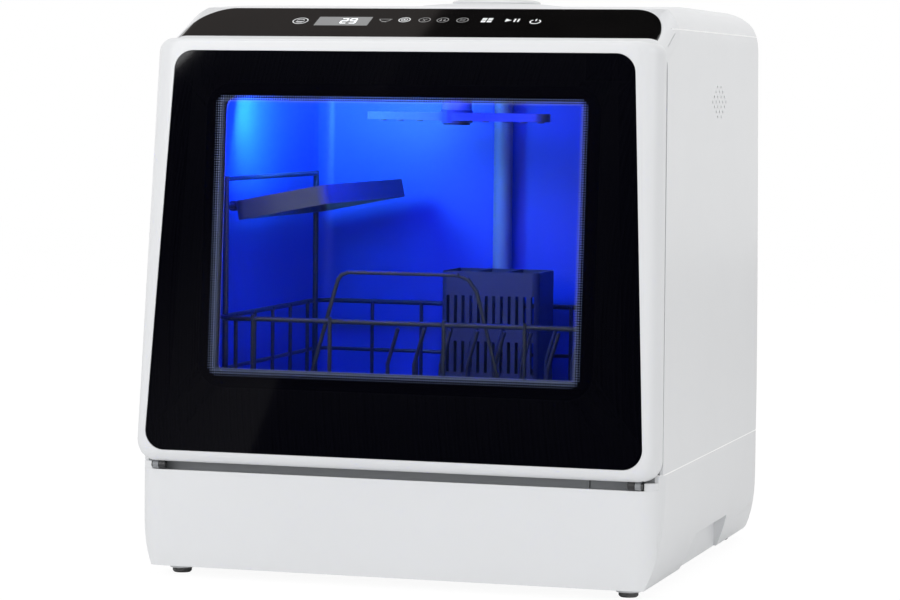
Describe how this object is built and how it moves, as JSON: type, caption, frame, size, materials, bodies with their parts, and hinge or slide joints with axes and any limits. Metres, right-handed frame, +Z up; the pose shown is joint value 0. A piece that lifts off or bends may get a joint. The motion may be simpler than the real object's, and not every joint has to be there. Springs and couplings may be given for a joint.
{
  "type": "countertop dishwasher",
  "caption": "Countertop dishwasher with a leaning glass door, a sloped touch panel, a round filler lid on top and a wire basket that glides out with the door.",
  "frame": {"origin": "middle of the bounding box at the height the feet stand on", "axes": "+X to the right seen from the front, +Y to the back, +Z up"},
  "size_m": [0.42, 0.4227, 0.4598],
  "materials": {
    "cabinet_white": "satin moulded plastic",
    "sill_grey": "fine matt grain",
    "foot_rubber": "soft rubber",
    "screw_steel": "zinc plated",
    "panel_black": "polished black panel",
    "display_dark": "smoked window",
    "board_green": "circuit board",
    "tub_plastic": "smooth moulded plastic",
    "tank_plastic": "milky blow-moulded plastic",
    "seal_rubber": "soft gasket rubber",
    "light_blue": "frosted light cover",
    "inner_grey": "moulded plastic",
    "inner_black": "moulded plastic",
    "bright_steel": "stainless steel",
    "hinge_black": "black coated steel",
    "door_glass_black": "black printed glass with a clear dotted window",
    "clear_glass": "clear glass",
    "basket_coat": "nylon coated wire",
    "cutlery_grey": "moulded plastic",
    "shelf_grey": "moulded plastic",
    "arm_grey": "moulded plastic",
    "impeller_white": "moulded plastic",
    "motor_steel": "plain motor can",
    "filter_blue": "moulded plastic",
    "hose_grey": "corrugated hose",
    "port_black": "moulded plastic",
    "valve_blue": "moulded plastic"
  },
  "bodies": {
    "cabinet": {"base_tray": "cabinet_white", "left_side_panel": "cabinet_white", "right_side_panel": "cabinet_white", "rear_cover": "cabinet_white", "top_cover": "cabinet_white", "front_sill": "sill_grey", "feet": "foot_rubber", "cabinet_screws": "screw_steel", "control_panel": "panel_black", "display_window": "display_dark", "control_board": "board_green", "filler_ring": "cabinet_white", "filler_funnel": "tub_plastic", "water_tank": "tank_plastic", "tub": "tub_plastic", "tub_seal": "seal_rubber", "light_bar": "light_blue", "latch_housing": "inner_grey", "switch_lever": "inner_black", "hinge_brackets": "hinge_black", "hinge_pins": "bright_steel", "lower_arm_post": "inner_grey", "upper_feed_pipe": "inner_grey", "arm_caps": "inner_black", "spray_manifold": "inner_grey", "flow_heater": "bright_steel", "pump_volute": "inner_black", "wash_motor": "motor_steel", "sump": "inner_black", "filter_plate": "bright_steel", "drain_pump": "inner_black", "hoses": "hose_grey", "drain_port": "port_black", "inlet_valve": "valve_blue", "inlet_pump": "inner_black", "cord_gland": "port_black", "fan_scroll": "inner_black"},
    "door": {"door_frame": "cabinet_white", "door_glass": "door_glass_black", "door_liner": "tub_plastic", "window_pane": "clear_glass", "window_seal": "seal_rubber", "latch_striker": "bright_steel", "hinge_arms": "hinge_black", "door_screws": "screw_steel"},
    "basket": {"long_wires": "basket_coat", "cross_wires": "basket_coat", "rim_wires": "basket_coat", "rim_corners": "basket_coat", "upright_wires": "basket_coat", "cup_guard": "basket_coat", "plate_tines": "basket_coat", "cutlery_basket": "cutlery_grey"},
    "shelf": {"cup_shelf": "shelf_grey"},
    "lid": {"filler_lid": "cabinet_white"},
    "lower_arm": {"lower_spray_arm": "arm_grey"},
    "upper_arm": {"upper_spray_arm": "arm_grey"},
    "filter": {"filter_cup": "filter_blue"},
    "impeller": {"pump_impeller": "impeller_white"},
    "fan": {"fan_wheel": "impeller_white"}
  },
  "joints": [
    {"name": "door_hinge", "type": "hinge", "parent": "cabinet", "child": "door", "pos_m": [0, -0.1986, 0.0875], "axis": [1, 0, 0], "range_deg": [0, 94]},
    {"name": "basket_slide", "type": "slide", "parent": "cabinet", "child": "basket", "axis": [0, -1, 0], "range_m": [0, 0.0985]},
    {"name": "shelf_fold", "type": "hinge", "parent": "basket", "child": "shelf", "pos_m": [-0.158, -0.0346, 0.288], "axis": [0, -1, 0], "range_deg": [0, 65]},
    {"name": "lid_hinge", "type": "hinge", "parent": "cabinet", "child": "lid", "pos_m": [0, 0.1214, 0.4562], "axis": [-1, 0, 0], "range_deg": [0, 100]},
    {"name": "lower_arm_spin", "type": "hinge", "parent": "cabinet", "child": "lower_arm", "pos_m": [0, -0.0346, 0.116], "axis": [0, 0, 1], "continuous": true},
    {"name": "upper_arm_spin", "type": "hinge", "parent": "cabinet", "child": "upper_arm", "pos_m": [0, -0.0346, 0.356], "axis": [0, 0, 1], "continuous": true},
    {"name": "filter_twist", "type": "hinge", "parent": "cabinet", "child": "filter", "pos_m": [0.098, -0.1156, 0.1134], "axis": [0, 0, 1], "range_deg": [0, 45]},
    {"name": "impeller_spin", "type": "hinge", "parent": "cabinet", "child": "impeller", "pos_m": [0, -0.1156, 0.052], "axis": [1, 0, 0], "continuous": true},
    {"name": "fan_spin", "type": "hinge", "parent": "cabinet", "child": "fan", "pos_m": [0.1845, 0.0224, 0.375], "axis": [1, 0, 0], "continuous": true}
  ],
  "couplings": [
    {"joint": "basket_slide", "follows": "door_hinge", "m_per_rad": 0.06}
  ]
}
